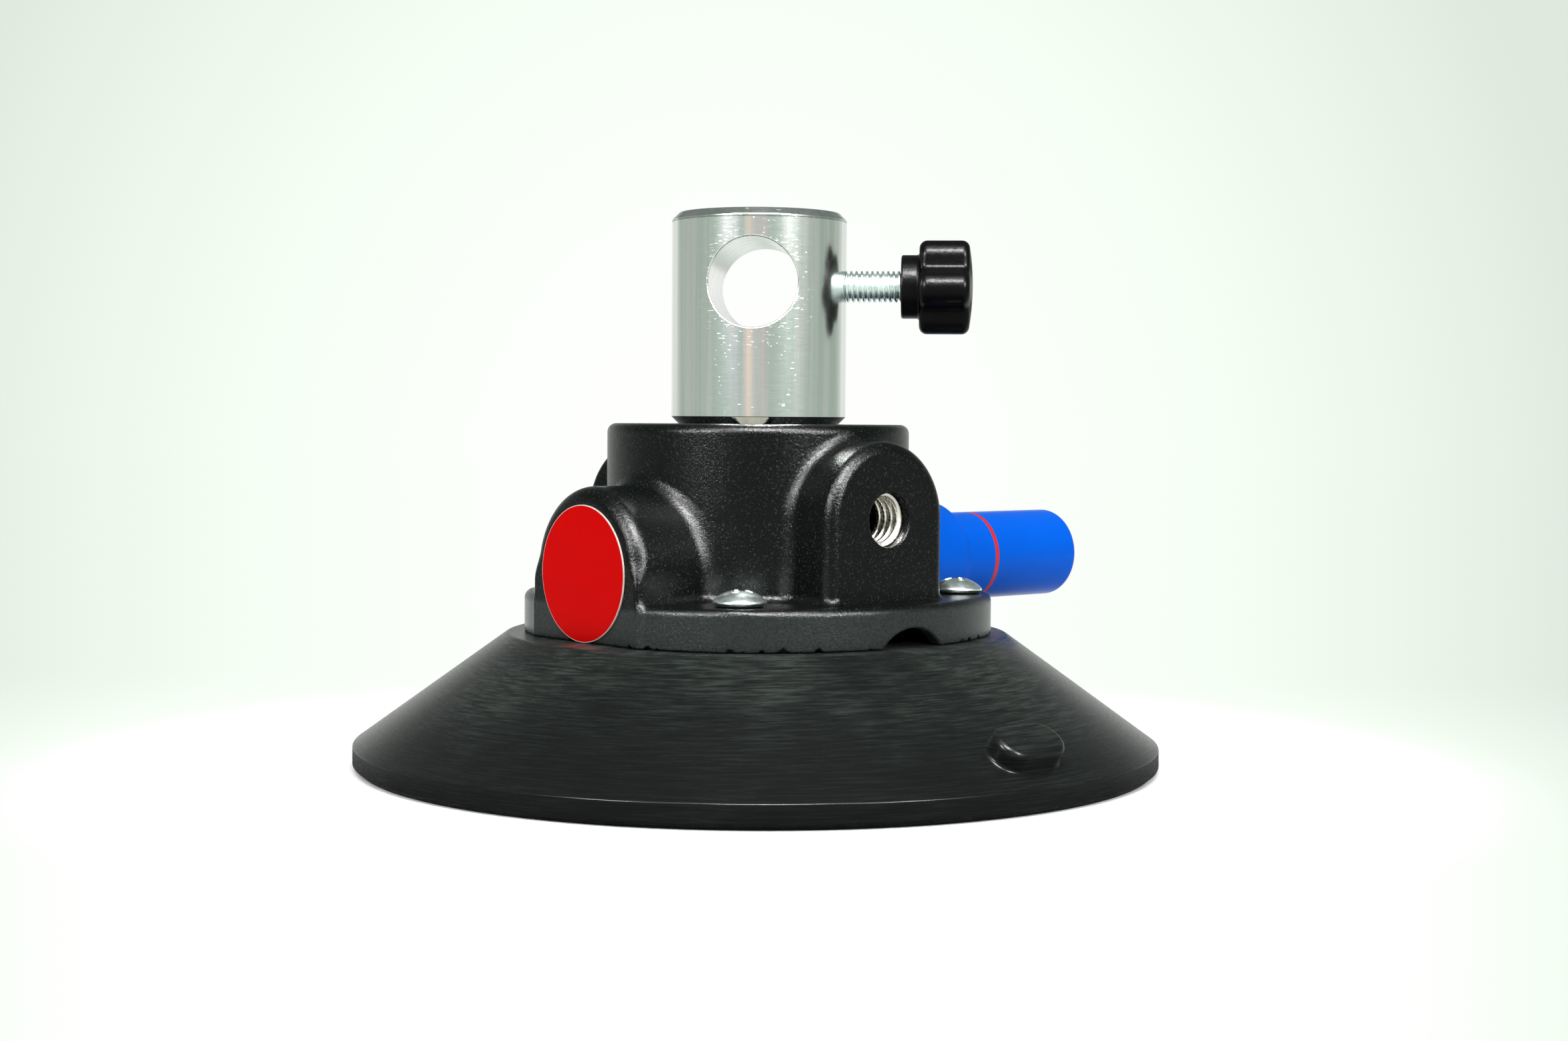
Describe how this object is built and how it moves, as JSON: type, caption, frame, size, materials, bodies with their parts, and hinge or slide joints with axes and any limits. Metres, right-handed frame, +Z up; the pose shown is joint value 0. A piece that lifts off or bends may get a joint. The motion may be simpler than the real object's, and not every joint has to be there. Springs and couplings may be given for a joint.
{
  "type": "vacuum cup mount",
  "caption": "Round rubber vacuum cup with a side hand pump, threaded side bosses and an upright cross-bored spigot socket with a clamp screw.",
  "frame": {"origin": "centre of the flat ring under the pad that seals against the gripped surface", "axes": "+Z up out of the gripped surface along the pad's axis, +X out of the pump along the plunger, -Y out of the front threaded boss"},
  "size_m": [0.1574, 0.1524, 0.1043],
  "materials": {
    "pad_rubber": "matt moulded rubber with a faint grey bloom",
    "seal_rubber": "smooth black nitrile",
    "black_casting": "fine-textured satin black coating on die-cast aluminium",
    "zinc_steel": "bright zinc plate",
    "insert_steel": "bright stainless wire",
    "spring_steel": "plain spring steel",
    "socket_aluminium": "polished, with fine turning lines and handling scratches",
    "blue_plastic": "glossy saturated blue moulding",
    "red_plastic": "glossy red",
    "red_vinyl": "plain glossy red vinyl disc with a thin pale cut edge",
    "filter_felt": "pressed grey felt",
    "knob_plastic": "glossy black moulding"
  },
  "bodies": {
    "base": {"vacuum_pad": "pad_rubber", "backing_plate": "zinc_steel", "face_gasket": "seal_rubber", "pump_housing": "black_casting", "flange_screws": "zinc_steel", "label_disc": "red_vinyl", "thread_insert_front": "insert_steel", "thread_insert_rear": "insert_steel", "thread_insert_top": "insert_steel", "plunger_spring": "spring_steel", "stop_pin": "zinc_steel", "valve_body": "socket_aluminium", "valve_seat": "blue_plastic", "check_valve": "seal_rubber", "filter_disc": "filter_felt", "filter_cap": "knob_plastic", "adapter_stud": "zinc_steel", "spigot_socket": "socket_aluminium"},
    "pump_plunger": {"plunger": "blue_plastic", "indicator_ring": "red_plastic", "piston_seal": "seal_rubber"},
    "clamp_spindle": {"clamp_screw": "zinc_steel"},
    "clamp_grip": {"clamp_knob": "knob_plastic"}
  },
  "joints": [
    {"name": "plunger_press", "type": "slide", "parent": "base", "child": "pump_plunger", "axis": [-1, 0, 0], "range_m": [0, 0.027], "stiffness_N_per_m": 350, "springref_m": -0.02, "deforming": ["plunger_spring"]},
    {"name": "clamp_feed", "type": "slide", "parent": "base", "child": "clamp_spindle", "axis": [-0.7071, 0.7071, 0], "range_m": [0, 0.01]},
    {"name": "clamp_turn", "type": "hinge", "parent": "clamp_spindle", "child": "clamp_grip", "pos_m": [0.0247, -0.0247, 0.0906], "axis": [-0.7071, 0.7071, 0], "range_deg": [0, 3600]}
  ],
  "couplings": [
    {"joint": "clamp_feed", "follows": "clamp_turn", "m_per_rad": 0.00015915}
  ]
}
